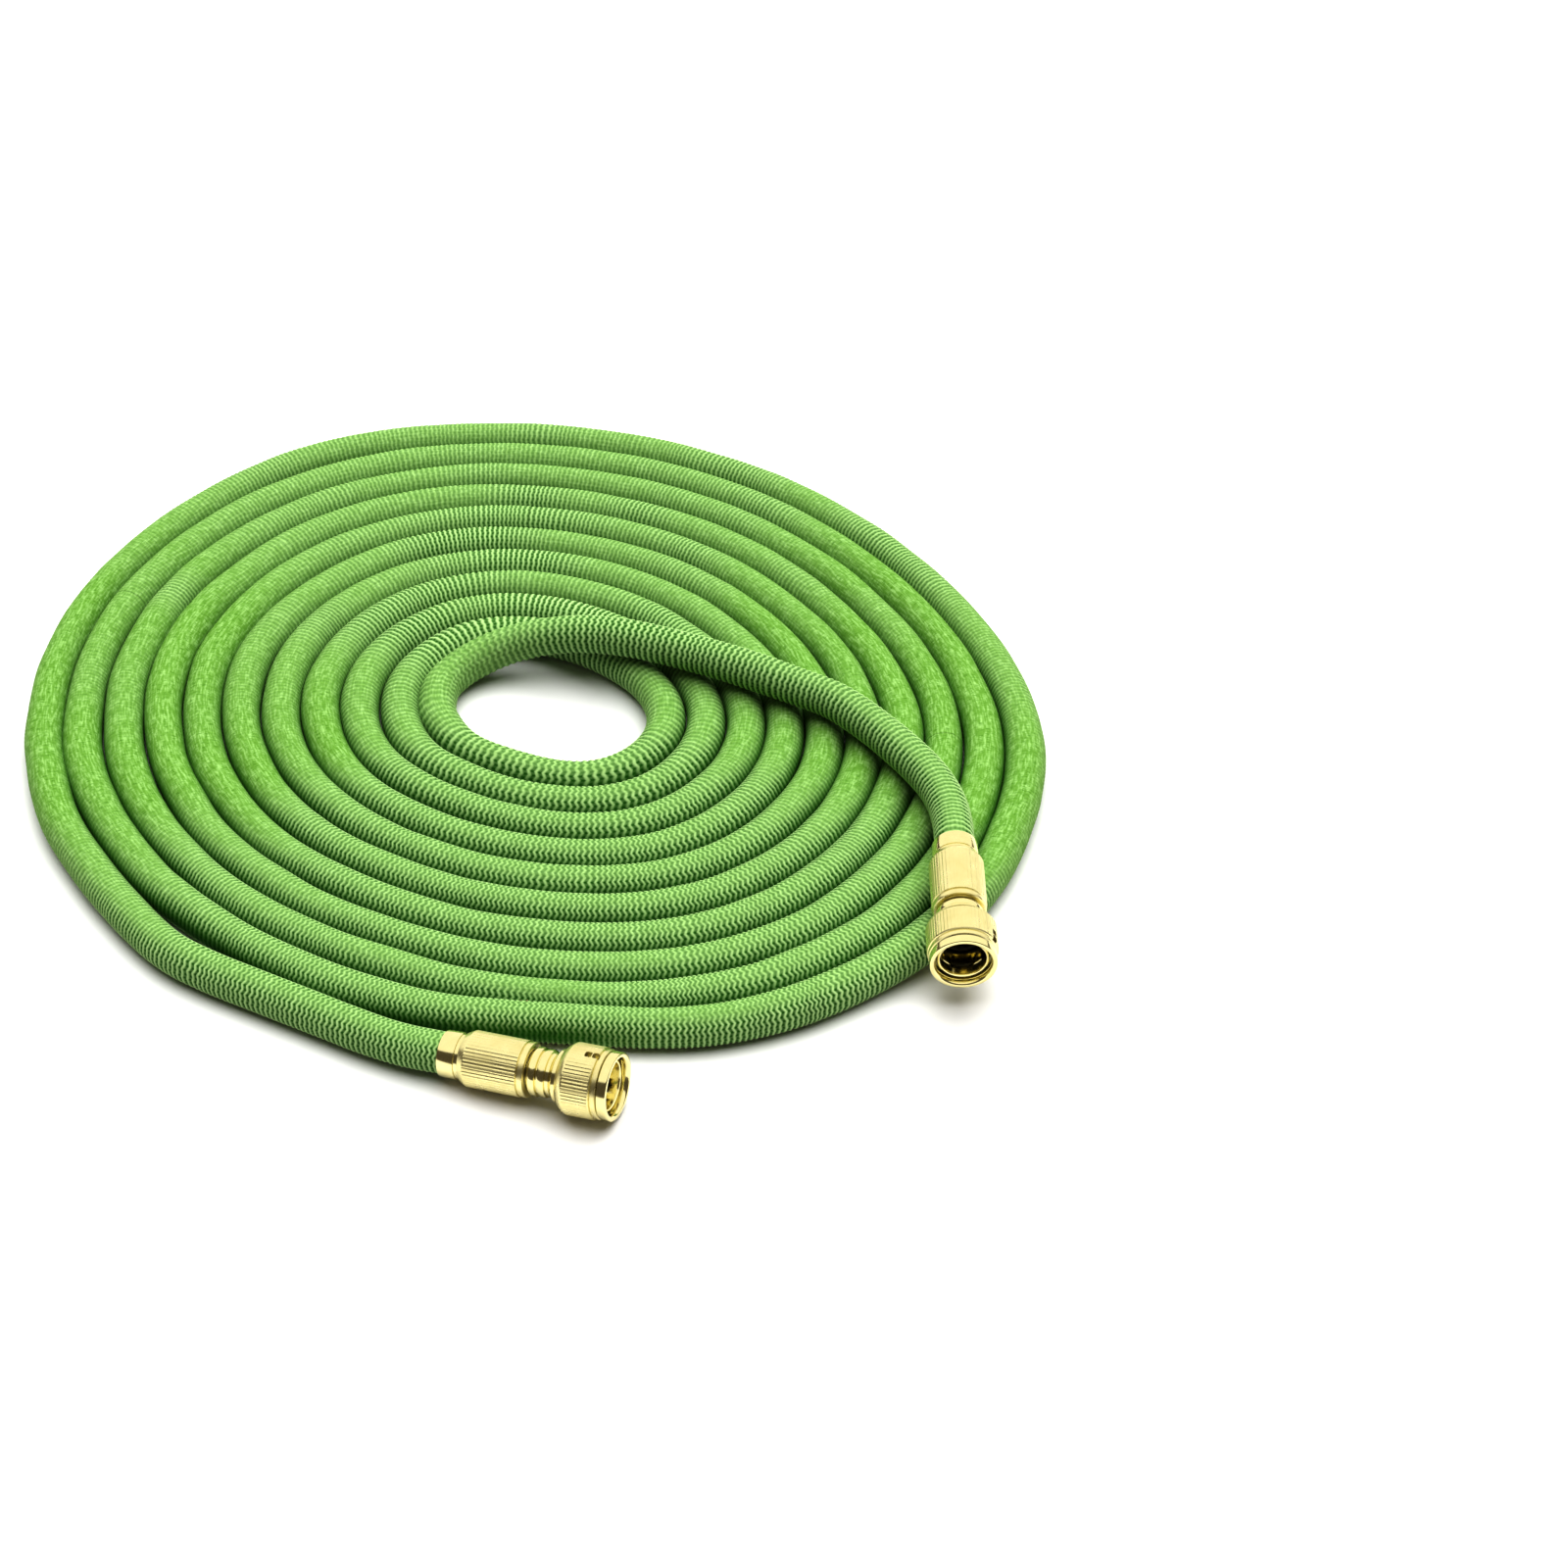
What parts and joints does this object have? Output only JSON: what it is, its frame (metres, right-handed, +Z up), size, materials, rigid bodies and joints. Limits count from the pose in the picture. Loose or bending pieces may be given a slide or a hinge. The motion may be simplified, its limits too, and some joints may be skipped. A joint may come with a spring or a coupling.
{
  "type": "garden hose",
  "caption": "Expanding textile-sheathed garden hose wound flat in a single-layer spiral, with a brass push-on connector on each end.",
  "frame": {"origin": "middle of the bounding box in plan, on the level floor that the coil lies on", "axes": "+Z up out of the floor, -Y towards the side that both couplings lie on, +X towards the right seen from that side"},
  "size_m": [0.5586, 0.6185, 0.0516],
  "materials": {
    "hose_coil": "woven",
    "hose_inner_end": "woven",
    "hose_outer_end": "woven",
    "inner_connector_body": "turned and polished",
    "inner_coupling_body": "turned and polished",
    "inner_ferrule": "turned and polished",
    "inner_locking_claw_1": "turned and polished",
    "inner_locking_claw_2": "turned and polished",
    "inner_locking_claw_3": "turned and polished",
    "inner_locking_claw_4": "turned and polished",
    "inner_mouth_ring": "turned and polished",
    "inner_release_collar": "turned and polished",
    "inner_seal_ring": "moulded",
    "outer_connector_body": "turned and polished",
    "outer_coupling_body": "turned and polished",
    "outer_ferrule": "turned and polished",
    "outer_locking_claw_1": "turned and polished",
    "outer_locking_claw_2": "turned and polished",
    "outer_locking_claw_3": "turned and polished",
    "outer_locking_claw_4": "turned and polished",
    "outer_mouth_ring": "turned and polished",
    "outer_release_collar": "turned and polished",
    "outer_seal_ring": "moulded"
  },
  "bodies": {
    "hose": {"hose_coil": "hose_coil", "hose_inner_end": "hose_inner_end", "hose_outer_end": "hose_outer_end", "inner_connector_body": "inner_connector_body", "inner_coupling_body": "inner_coupling_body", "inner_ferrule": "inner_ferrule", "inner_locking_claw_1": "inner_locking_claw_1", "inner_locking_claw_2": "inner_locking_claw_2", "inner_locking_claw_3": "inner_locking_claw_3", "inner_locking_claw_4": "inner_locking_claw_4", "inner_mouth_ring": "inner_mouth_ring", "inner_seal_ring": "inner_seal_ring", "outer_connector_body": "outer_connector_body", "outer_coupling_body": "outer_coupling_body", "outer_ferrule": "outer_ferrule", "outer_locking_claw_1": "outer_locking_claw_1", "outer_locking_claw_2": "outer_locking_claw_2", "outer_locking_claw_3": "outer_locking_claw_3", "outer_locking_claw_4": "outer_locking_claw_4", "outer_mouth_ring": "outer_mouth_ring", "outer_seal_ring": "outer_seal_ring"},
    "outer_collar": {"outer_release_collar": "outer_release_collar"},
    "inner_collar": {"inner_release_collar": "inner_release_collar"}
  },
  "joints": [
    {"name": "outer_collar_slide", "type": "slide", "parent": "hose", "child": "outer_collar", "axis": [-0.9056, 0.4184, -0.0698], "range_m": [0, 0.004], "stiffness_N_per_m": 600, "springref_m": -0.004},
    {"name": "inner_collar_slide", "type": "slide", "parent": "hose", "child": "inner_collar", "axis": [0.0695, 0.9938, 0.0872], "range_m": [0, 0.004], "stiffness_N_per_m": 600, "springref_m": -0.004}
  ]
}
